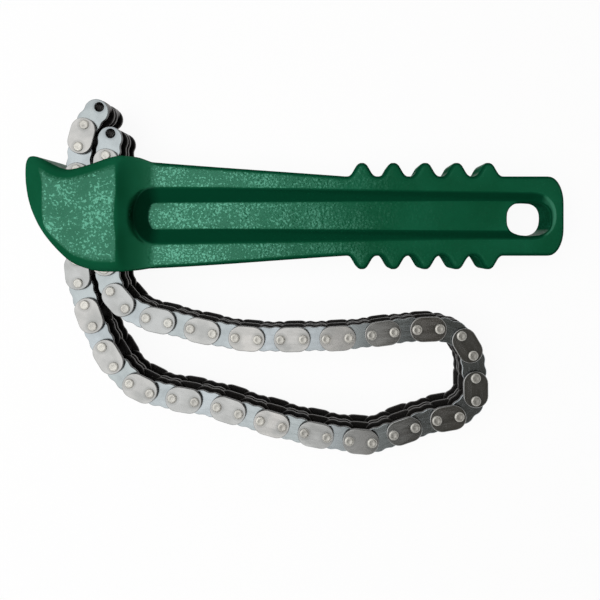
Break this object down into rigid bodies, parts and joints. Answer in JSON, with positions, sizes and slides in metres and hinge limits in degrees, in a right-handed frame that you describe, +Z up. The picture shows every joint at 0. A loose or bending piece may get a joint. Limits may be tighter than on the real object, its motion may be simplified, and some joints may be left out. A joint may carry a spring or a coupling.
{
  "type": "chain filter wrench",
  "caption": "Cast handle with a toothed grip and a hollow horned head, holding a double-width roller chain that loops out below the head and comes back up through it.",
  "frame": {"origin": "on the head's rear cheek, the flat face the tool rests on, at the foot of the middle line between horn and shoulder", "axes": "+X along the handle from the head to the hanging hole, +Y across the handle towards the horn's tip, +Z up through the thickness"},
  "size_m": [0.2264, 0.149, 0.0326],
  "materials": {
    "enamelled_casting": "glossy hammered green enamel",
    "outer_link_steel": "smooth bright steel plates and rivets",
    "inner_link_steel": "blue-grey steel plates",
    "pin_steel": "ground steel"
  },
  "bodies": {
    "handle": {"handle_casting": "enamelled_casting", "anchor_pin": "pin_steel"},
    "stub_outer_link": {"stub_outer_link": "outer_link_steel"},
    "stub_end_link": {"stub_end_link": "inner_link_steel"},
    "link_01_inner": {"link_01_inner": "inner_link_steel"},
    "link_02_outer": {"link_02_outer": "outer_link_steel"},
    "link_03_inner": {"link_03_inner": "inner_link_steel"},
    "link_04_outer": {"link_04_outer": "outer_link_steel"},
    "link_05_inner": {"link_05_inner": "inner_link_steel"},
    "link_06_outer": {"link_06_outer": "outer_link_steel"},
    "link_07_inner": {"link_07_inner": "inner_link_steel"},
    "link_08_outer": {"link_08_outer": "outer_link_steel"},
    "link_09_inner": {"link_09_inner": "inner_link_steel"},
    "link_10_outer": {"link_10_outer": "outer_link_steel"},
    "link_11_inner": {"link_11_inner": "inner_link_steel"},
    "link_12_outer": {"link_12_outer": "outer_link_steel"},
    "link_13_inner": {"link_13_inner": "inner_link_steel"},
    "link_14_outer": {"link_14_outer": "outer_link_steel"},
    "link_15_inner": {"link_15_inner": "inner_link_steel"},
    "link_16_outer": {"link_16_outer": "outer_link_steel"},
    "link_17_inner": {"link_17_inner": "inner_link_steel"},
    "link_18_outer": {"link_18_outer": "outer_link_steel"},
    "link_19_inner": {"link_19_inner": "inner_link_steel"},
    "link_20_outer": {"link_20_outer": "outer_link_steel"},
    "link_21_inner": {"link_21_inner": "inner_link_steel"},
    "link_22_outer": {"link_22_outer": "outer_link_steel"},
    "link_23_inner": {"link_23_inner": "inner_link_steel"},
    "link_24_outer": {"link_24_outer": "outer_link_steel"},
    "link_25_inner": {"link_25_inner": "inner_link_steel"},
    "link_26_outer": {"link_26_outer": "outer_link_steel"},
    "link_27_inner": {"link_27_inner": "inner_link_steel"},
    "link_28_outer": {"link_28_outer": "outer_link_steel"},
    "link_29_inner": {"link_29_inner": "inner_link_steel"},
    "link_30_outer": {"link_30_outer": "outer_link_steel"},
    "link_31_inner": {"link_31_inner": "inner_link_steel"},
    "link_32_outer": {"link_32_outer": "outer_link_steel"},
    "link_33_inner": {"link_33_inner": "inner_link_steel"},
    "link_34_outer": {"link_34_outer": "outer_link_steel"},
    "link_35_inner": {"link_35_inner": "inner_link_steel"},
    "link_36_outer": {"link_36_outer": "outer_link_steel"},
    "link_37_inner": {"link_37_inner": "inner_link_steel"},
    "link_38_outer": {"link_38_outer": "outer_link_steel"},
    "link_39_inner": {"link_39_inner": "inner_link_steel"},
    "link_40_outer": {"link_40_outer": "outer_link_steel"},
    "link_41_inner": {"link_41_inner": "inner_link_steel"},
    "link_42_outer": {"link_42_outer": "outer_link_steel"},
    "link_43_inner": {"link_43_inner": "inner_link_steel"},
    "link_44_outer": {"link_44_outer": "outer_link_steel"},
    "link_45_inner": {"link_45_inner": "inner_link_steel"},
    "link_46_outer": {"link_46_outer": "outer_link_steel"},
    "link_47_inner": {"link_47_inner": "inner_link_steel"},
    "link_48_outer": {"link_48_outer": "outer_link_steel"},
    "link_49_inner": {"link_49_inner": "inner_link_steel"},
    "link_50_outer": {"link_50_outer": "outer_link_steel"},
    "link_51_inner": {"link_51_inner": "inner_link_steel"},
    "link_52_outer": {"link_52_outer": "outer_link_steel"},
    "link_53_inner": {"link_53_inner": "inner_link_steel"}
  },
  "joints": [
    {"name": "stub_outer_link_hinge", "type": "hinge", "parent": "handle", "child": "stub_outer_link", "pos_m": [0.00985, 0.01572, 0.0163], "axis": [0, 0, 1], "range_deg": [0, 2.5]},
    {"name": "stub_end_link_hinge", "type": "hinge", "parent": "stub_outer_link", "child": "stub_end_link", "pos_m": [0.01035, 0.02523, 0.0163], "axis": [0, 0, 1], "range_deg": [-15, 4]},
    {"name": "free_strand_slide", "type": "slide", "parent": "handle", "child": "link_50_outer", "axis": [0, 1, 0], "range_m": [-0.001, 0.005]},
    {"name": "link_01_inner_hinge", "type": "hinge", "parent": "handle", "child": "link_01_inner", "pos_m": [0.00985, 0.01572, 0.0163], "axis": [0, 0, 1], "range_deg": [-1.69, 0.42]},
    {"name": "link_02_outer_hinge", "type": "hinge", "parent": "link_01_inner", "child": "link_02_outer", "pos_m": [0.00985, 0.0062, 0.0163], "axis": [0, 0, 1], "range_deg": [-0.57, 2.43]},
    {"name": "link_03_inner_hinge", "type": "hinge", "parent": "link_02_outer", "child": "link_03_inner", "pos_m": [0.00985, -0.00333, 0.0163], "axis": [0, 0, 1], "range_deg": [-2.43, 0.57]},
    {"name": "link_04_outer_hinge", "type": "hinge", "parent": "link_03_inner", "child": "link_04_outer", "pos_m": [0.0097, -0.01285, 0.0163], "axis": [0, 0, 1], "range_deg": [-0.44, 1.8]},
    {"name": "link_05_inner_hinge", "type": "hinge", "parent": "link_04_outer", "child": "link_05_inner", "pos_m": [0.00977, -0.02238, 0.0163], "axis": [0, 0, 1], "range_deg": [-2.01, 0.48]},
    {"name": "link_06_outer_hinge", "type": "hinge", "parent": "link_05_inner", "child": "link_06_outer", "pos_m": [0.01227, -0.03157, 0.0163], "axis": [0, 0, 1], "range_deg": [-2.01, 0.48]},
    {"name": "link_07_inner_hinge", "type": "hinge", "parent": "link_06_outer", "child": "link_07_inner", "pos_m": [0.01847, -0.0388, 0.0163], "axis": [0, 0, 1], "range_deg": [-1.39, 6.56]},
    {"name": "link_08_outer_hinge", "type": "hinge", "parent": "link_07_inner", "child": "link_08_outer", "pos_m": [0.02713, -0.04277, 0.0163], "axis": [0, 0, 1], "range_deg": [-2.01, 0.48]},
    {"name": "link_09_inner_hinge", "type": "hinge", "parent": "link_08_outer", "child": "link_09_inner", "pos_m": [0.03642, -0.04485, 0.0163], "axis": [0, 0, 1], "range_deg": [-0.48, 2.01]},
    {"name": "link_10_outer_hinge", "type": "hinge", "parent": "link_09_inner", "child": "link_10_outer", "pos_m": [0.04564, -0.04723, 0.0163], "axis": [0, 0, 1], "range_deg": [-0.48, 2.01]},
    {"name": "link_11_inner_hinge", "type": "hinge", "parent": "link_10_outer", "child": "link_11_inner", "pos_m": [0.05494, -0.04931, 0.0163], "axis": [0, 0, 1], "range_deg": [-0.48, 2.01]},
    {"name": "link_12_outer_hinge", "type": "hinge", "parent": "link_11_inner", "child": "link_12_outer", "pos_m": [0.06431, -0.05105, 0.0163], "axis": [0, 0, 1], "range_deg": [-3.43, 0.77]},
    {"name": "link_13_inner_hinge", "type": "hinge", "parent": "link_12_outer", "child": "link_13_inner", "pos_m": [0.0738, -0.05183, 0.0163], "axis": [0, 0, 1], "range_deg": [-6.48, 1.38]},
    {"name": "link_14_outer_hinge", "type": "hinge", "parent": "link_13_inner", "child": "link_14_outer", "pos_m": [0.08332, -0.05187, 0.0163], "axis": [0, 0, 1], "range_deg": [-9.36, 1.95]},
    {"name": "link_15_inner_hinge", "type": "hinge", "parent": "link_14_outer", "child": "link_15_inner", "pos_m": [0.09285, -0.05171, 0.0163], "axis": [0, 0, 1], "range_deg": [-12.86, 2.65]},
    {"name": "link_16_outer_hinge", "type": "hinge", "parent": "link_15_inner", "child": "link_16_outer", "pos_m": [0.10237, -0.0516, 0.0163], "axis": [0, 0, 1], "range_deg": [-13.54, 2.79]},
    {"name": "link_17_inner_hinge", "type": "hinge", "parent": "link_16_outer", "child": "link_17_inner", "pos_m": [0.11188, -0.05109, 0.0163], "axis": [0, 0, 1], "range_deg": [-0.48, 2.01]},
    {"name": "link_18_outer_hinge", "type": "hinge", "parent": "link_17_inner", "child": "link_18_outer", "pos_m": [0.12133, -0.0499, 0.0163], "axis": [0, 0, 1], "range_deg": [-0.48, 2.01]},
    {"name": "link_19_inner_hinge", "type": "hinge", "parent": "link_18_outer", "child": "link_19_inner", "pos_m": [0.13078, -0.04867, 0.0163], "axis": [0, 0, 1], "range_deg": [-9.04, 1.89]},
    {"name": "link_20_outer_hinge", "type": "hinge", "parent": "link_19_inner", "child": "link_20_outer", "pos_m": [0.14025, -0.04769, 0.0163], "axis": [0, 0, 1], "range_deg": [-3.54, 0.79]},
    {"name": "link_21_inner_hinge", "type": "hinge", "parent": "link_20_outer", "child": "link_21_inner", "pos_m": [0.14977, -0.04734, 0.0163], "axis": [0, 0, 1], "range_deg": [-1.07, 4.95]},
    {"name": "link_22_outer_hinge", "type": "hinge", "parent": "link_21_inner", "child": "link_22_outer", "pos_m": [0.15885, -0.05021, 0.0163], "axis": [0, 0, 1], "range_deg": [-2.01, 0.48]},
    {"name": "link_23_inner_hinge", "type": "hinge", "parent": "link_22_outer", "child": "link_23_inner", "pos_m": [0.16368, -0.05842, 0.0163], "axis": [0, 0, 1], "range_deg": [-2.28, 10.98]},
    {"name": "link_24_outer_hinge", "type": "hinge", "parent": "link_23_inner", "child": "link_24_outer", "pos_m": [0.16475, -0.06789, 0.0163], "axis": [0, 0, 1], "range_deg": [-2.01, 0.48]},
    {"name": "link_25_inner_hinge", "type": "hinge", "parent": "link_24_outer", "child": "link_25_inner", "pos_m": [0.16483, -0.07741, 0.0163], "axis": [0, 0, 1], "range_deg": [-2.89, 14.06]},
    {"name": "link_49_inner_hinge", "type": "hinge", "parent": "link_50_outer", "child": "link_49_inner", "pos_m": [-0.00195, 0.00986, 0.0163], "axis": [0, 0, 1], "range_deg": [-0.42, 1.69]},
    {"name": "link_48_outer_hinge", "type": "hinge", "parent": "link_49_inner", "child": "link_48_outer", "pos_m": [-0.00195, 0.00033, 0.0163], "axis": [0, 0, 1], "range_deg": [-2.96, 0.67]},
    {"name": "link_47_inner_hinge", "type": "hinge", "parent": "link_48_outer", "child": "link_47_inner", "pos_m": [-0.00206, -0.00919, 0.0163], "axis": [0, 0, 1], "range_deg": [-0.57, 2.43]},
    {"name": "link_46_outer_hinge", "type": "hinge", "parent": "link_47_inner", "child": "link_46_outer", "pos_m": [-0.00213, -0.01872, 0.0163], "axis": [0, 0, 1], "range_deg": [-7.9, 1.66]},
    {"name": "link_45_inner_hinge", "type": "hinge", "parent": "link_46_outer", "child": "link_45_inner", "pos_m": [-0.00119, -0.0282, 0.0163], "axis": [0, 0, 1], "range_deg": [-1.72, 8.21]},
    {"name": "link_44_outer_hinge", "type": "hinge", "parent": "link_45_inner", "child": "link_44_outer", "pos_m": [0.00158, -0.03731, 0.0163], "axis": [0, 0, 1], "range_deg": [-0.48, 2.01]},
    {"name": "link_43_inner_hinge", "type": "hinge", "parent": "link_44_outer", "child": "link_43_inner", "pos_m": [0.00487, -0.04625, 0.0163], "axis": [0, 0, 1], "range_deg": [-10.44, 2.17]},
    {"name": "link_42_outer_hinge", "type": "hinge", "parent": "link_43_inner", "child": "link_42_outer", "pos_m": [0.00878, -0.05493, 0.0163], "axis": [0, 0, 1], "range_deg": [-14.94, 3.07]},
    {"name": "link_41_inner_hinge", "type": "hinge", "parent": "link_42_outer", "child": "link_41_inner", "pos_m": [0.01369, -0.0631, 0.0163], "axis": [0, 0, 1], "range_deg": [-12.82, 2.64]},
    {"name": "link_40_outer_hinge", "type": "hinge", "parent": "link_41_inner", "child": "link_40_outer", "pos_m": [0.0202, -0.07005, 0.0163], "axis": [0, 0, 1], "range_deg": [-8.78, 1.84]},
    {"name": "link_39_inner_hinge", "type": "hinge", "parent": "link_40_outer", "child": "link_39_inner", "pos_m": [0.02874, -0.07427, 0.0163], "axis": [0, 0, 1], "range_deg": [-3.74, 0.83]},
    {"name": "link_38_outer_hinge", "type": "hinge", "parent": "link_39_inner", "child": "link_38_outer", "pos_m": [0.03804, -0.0763, 0.0163], "axis": [0, 0, 1], "range_deg": [-2.01, 0.48]},
    {"name": "link_37_inner_hinge", "type": "hinge", "parent": "link_38_outer", "child": "link_37_inner", "pos_m": [0.04744, -0.07786, 0.0163], "axis": [0, 0, 1], "range_deg": [-1.15, 5.37]},
    {"name": "link_36_outer_hinge", "type": "hinge", "parent": "link_37_inner", "child": "link_36_outer", "pos_m": [0.05672, -0.08, 0.0163], "axis": [0, 0, 1], "range_deg": [-1.64, 7.81]},
    {"name": "link_35_inner_hinge", "type": "hinge", "parent": "link_36_outer", "child": "link_35_inner", "pos_m": [0.0658, -0.08287, 0.0163], "axis": [0, 0, 1], "range_deg": [-1.82, 8.71]},
    {"name": "link_34_outer_hinge", "type": "hinge", "parent": "link_35_inner", "child": "link_34_outer", "pos_m": [0.07489, -0.08573, 0.0163], "axis": [0, 0, 1], "range_deg": [-2.02, 9.7]},
    {"name": "link_33_inner_hinge", "type": "hinge", "parent": "link_34_outer", "child": "link_33_inner", "pos_m": [0.08405, -0.08834, 0.0163], "axis": [0, 0, 1], "range_deg": [-2.06, 9.9]},
    {"name": "link_32_outer_hinge", "type": "hinge", "parent": "link_33_inner", "child": "link_32_outer", "pos_m": [0.09327, -0.09075, 0.0163], "axis": [0, 0, 1], "range_deg": [-1.61, 7.65]},
    {"name": "link_31_inner_hinge", "type": "hinge", "parent": "link_32_outer", "child": "link_31_inner", "pos_m": [0.10261, -0.09259, 0.0163], "axis": [0, 0, 1], "range_deg": [-0.89, 4.03]},
    {"name": "link_30_outer_hinge", "type": "hinge", "parent": "link_31_inner", "child": "link_30_outer", "pos_m": [0.11202, -0.09406, 0.0163], "axis": [0, 0, 1], "range_deg": [-0.48, 2.01]},
    {"name": "link_29_inner_hinge", "type": "hinge", "parent": "link_30_outer", "child": "link_29_inner", "pos_m": [0.12151, -0.09487, 0.0163], "axis": [0, 0, 1], "range_deg": [-7.07, 1.49]},
    {"name": "link_28_outer_hinge", "type": "hinge", "parent": "link_29_inner", "child": "link_28_outer", "pos_m": [0.13047, -0.09163, 0.0163], "axis": [0, 0, 1], "range_deg": [-2.52, 0.58]},
    {"name": "link_27_inner_hinge", "type": "hinge", "parent": "link_28_outer", "child": "link_27_inner", "pos_m": [0.13947, -0.0885, 0.0163], "axis": [0, 0, 1], "range_deg": [-2.01, 0.48]},
    {"name": "link_26_outer_hinge", "type": "hinge", "parent": "link_27_inner", "child": "link_26_outer", "pos_m": [0.14853, -0.08558, 0.0163], "axis": [0, 0, 1], "range_deg": [-2.83, 0.65]},
    {"name": "link_51_inner_hinge", "type": "hinge", "parent": "link_50_outer", "child": "link_51_inner", "pos_m": [-0.00195, 0.01938, 0.0163], "axis": [0, 0, 1], "range_deg": [-2, 18]},
    {"name": "link_52_outer_hinge", "type": "hinge", "parent": "link_51_inner", "child": "link_52_outer", "pos_m": [-0.00112, 0.02887, 0.0163], "axis": [0, 0, 1], "range_deg": [-2, 40]},
    {"name": "link_53_inner_hinge", "type": "hinge", "parent": "link_52_outer", "child": "link_53_inner", "pos_m": [0.00135, 0.03807, 0.0163], "axis": [0, 0, 1], "range_deg": [-4, 75]}
  ],
  "couplings": [
    {"joint": "link_01_inner_hinge", "follows": "free_strand_slide", "rad_per_m": -5.236},
    {"joint": "link_02_outer_hinge", "follows": "free_strand_slide", "rad_per_m": 7.6794},
    {"joint": "link_03_inner_hinge", "follows": "free_strand_slide", "rad_per_m": -7.6794},
    {"joint": "link_04_outer_hinge", "follows": "free_strand_slide", "rad_per_m": 5.5851},
    {"joint": "link_05_inner_hinge", "follows": "free_strand_slide", "rad_per_m": -6.2813},
    {"joint": "link_06_outer_hinge", "follows": "free_strand_slide", "rad_per_m": -6.2784},
    {"joint": "link_07_inner_hinge", "follows": "free_strand_slide", "rad_per_m": 21.27},
    {"joint": "link_08_outer_hinge", "follows": "free_strand_slide", "rad_per_m": -6.2801},
    {"joint": "link_09_inner_hinge", "follows": "free_strand_slide", "rad_per_m": 6.283},
    {"joint": "link_10_outer_hinge", "follows": "free_strand_slide", "rad_per_m": 6.2826},
    {"joint": "link_11_inner_hinge", "follows": "free_strand_slide", "rad_per_m": 6.2817},
    {"joint": "link_12_outer_hinge", "follows": "free_strand_slide", "rad_per_m": -10.981},
    {"joint": "link_13_inner_hinge", "follows": "free_strand_slide", "rad_per_m": -20.997},
    {"joint": "link_14_outer_hinge", "follows": "free_strand_slide", "rad_per_m": -30.495},
    {"joint": "link_15_inner_hinge", "follows": "free_strand_slide", "rad_per_m": -42.007},
    {"joint": "link_16_outer_hinge", "follows": "free_strand_slide", "rad_per_m": -44.268},
    {"joint": "link_17_inner_hinge", "follows": "free_strand_slide", "rad_per_m": 6.277},
    {"joint": "link_18_outer_hinge", "follows": "free_strand_slide", "rad_per_m": 6.2777},
    {"joint": "link_19_inner_hinge", "follows": "free_strand_slide", "rad_per_m": -29.431},
    {"joint": "link_20_outer_hinge", "follows": "free_strand_slide", "rad_per_m": -11.34},
    {"joint": "link_21_inner_hinge", "follows": "free_strand_slide", "rad_per_m": 15.963},
    {"joint": "link_22_outer_hinge", "follows": "free_strand_slide", "rad_per_m": -6.2767},
    {"joint": "link_23_inner_hinge", "follows": "free_strand_slide", "rad_per_m": 35.812},
    {"joint": "link_24_outer_hinge", "follows": "free_strand_slide", "rad_per_m": -6.2765},
    {"joint": "link_25_inner_hinge", "follows": "free_strand_slide", "rad_per_m": 45.985},
    {"joint": "link_49_inner_hinge", "follows": "free_strand_slide", "rad_per_m": 5.236},
    {"joint": "link_48_outer_hinge", "follows": "free_strand_slide", "rad_per_m": -9.4248},
    {"joint": "link_47_inner_hinge", "follows": "free_strand_slide", "rad_per_m": 7.6794},
    {"joint": "link_46_outer_hinge", "follows": "free_strand_slide", "rad_per_m": -25.698},
    {"joint": "link_45_inner_hinge", "follows": "free_strand_slide", "rad_per_m": 26.716},
    {"joint": "link_44_outer_hinge", "follows": "free_strand_slide", "rad_per_m": 6.2829},
    {"joint": "link_43_inner_hinge", "follows": "free_strand_slide", "rad_per_m": -34.04},
    {"joint": "link_42_outer_hinge", "follows": "free_strand_slide", "rad_per_m": -48.88},
    {"joint": "link_41_inner_hinge", "follows": "free_strand_slide", "rad_per_m": -41.883},
    {"joint": "link_40_outer_hinge", "follows": "free_strand_slide", "rad_per_m": -28.598},
    {"joint": "link_39_inner_hinge", "follows": "free_strand_slide", "rad_per_m": -11.999},
    {"joint": "link_38_outer_hinge", "follows": "free_strand_slide", "rad_per_m": -6.2813},
    {"joint": "link_37_inner_hinge", "follows": "free_strand_slide", "rad_per_m": 17.36},
    {"joint": "link_36_outer_hinge", "follows": "free_strand_slide", "rad_per_m": 25.404},
    {"joint": "link_35_inner_hinge", "follows": "free_strand_slide", "rad_per_m": 28.352},
    {"joint": "link_34_outer_hinge", "follows": "free_strand_slide", "rad_per_m": 31.615},
    {"joint": "link_33_inner_hinge", "follows": "free_strand_slide", "rad_per_m": 32.278},
    {"joint": "link_32_outer_hinge", "follows": "free_strand_slide", "rad_per_m": 24.872},
    {"joint": "link_31_inner_hinge", "follows": "free_strand_slide", "rad_per_m": 12.947},
    {"joint": "link_30_outer_hinge", "follows": "free_strand_slide", "rad_per_m": 6.2813},
    {"joint": "link_29_inner_hinge", "follows": "free_strand_slide", "rad_per_m": -22.947},
    {"joint": "link_28_outer_hinge", "follows": "free_strand_slide", "rad_per_m": -7.977},
    {"joint": "link_27_inner_hinge", "follows": "free_strand_slide", "rad_per_m": -6.282},
    {"joint": "link_26_outer_hinge", "follows": "free_strand_slide", "rad_per_m": -9.0023}
  ]
}
